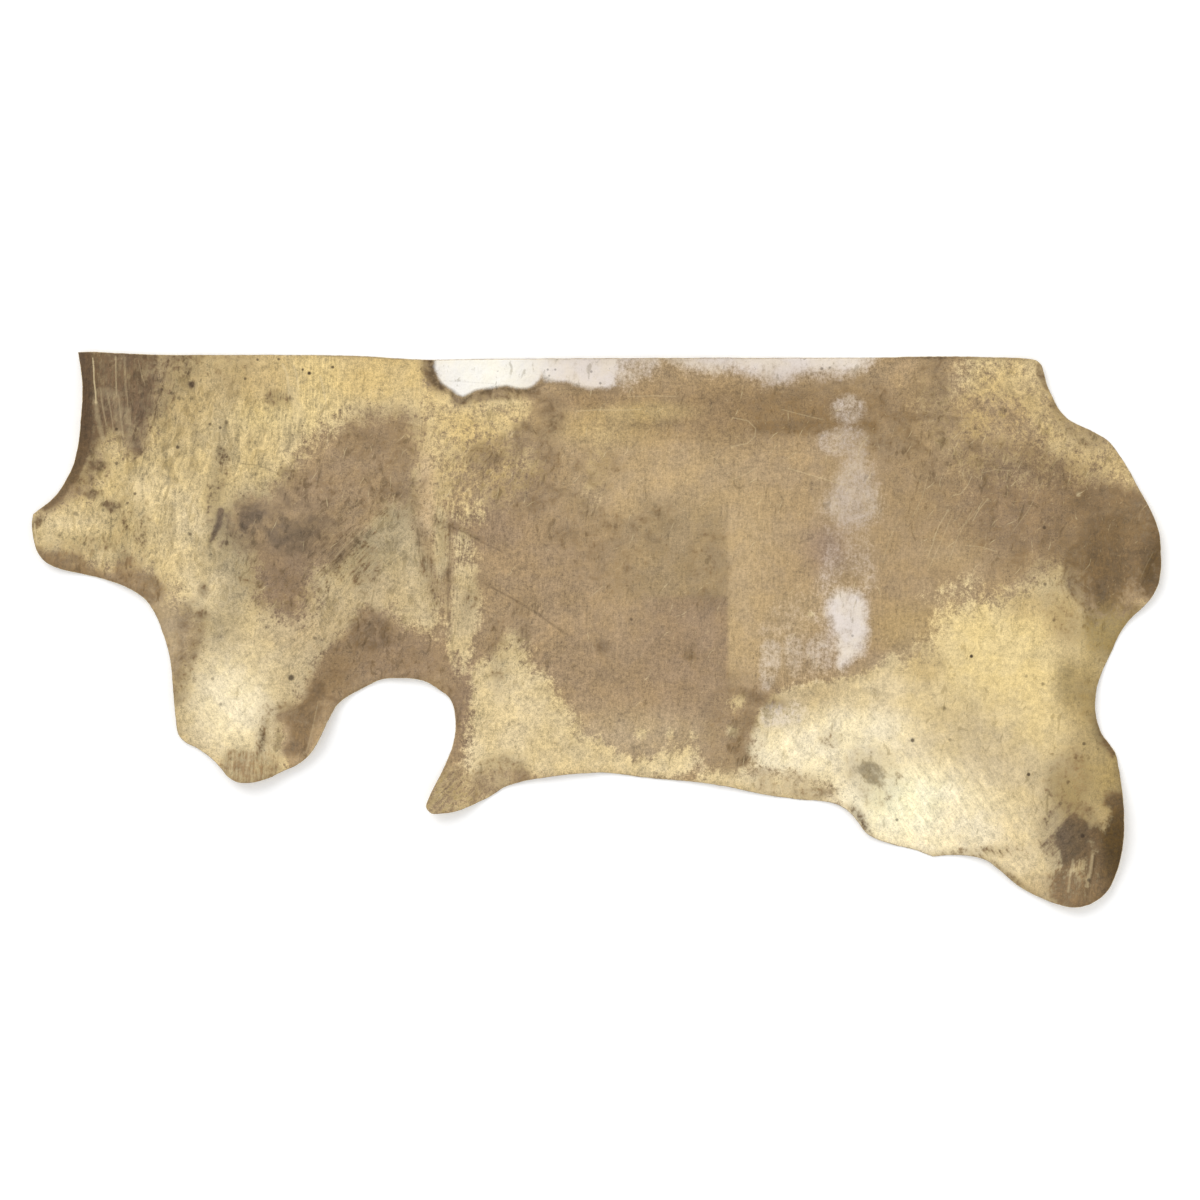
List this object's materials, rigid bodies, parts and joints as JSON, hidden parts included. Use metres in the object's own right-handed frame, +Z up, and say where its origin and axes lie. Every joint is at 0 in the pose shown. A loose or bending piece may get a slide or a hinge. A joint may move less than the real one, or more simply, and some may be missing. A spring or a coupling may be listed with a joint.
{
  "type": "rawhide side",
  "caption": "Half of a cattle hide, split down the back, lying flat grain side up, with its shank flaps, a cut neck and gently lifted edges.",
  "frame": {"origin": "on the surface that the hide lies on, under the middle of its outline's box", "axes": "+X from the neck to the tail, along the back cut; +Y from the belly to the back cut; +Z up from the surface, out of the grain side"},
  "size_m": [2.2548, 1.1109, 0.0322],
  "materials": {
    "rawhide": "uneven dull satin, mottled cream, tan and brown"
  },
  "bodies": {
    "root": {"hide": "rawhide"}
  },
  "joints": []
}
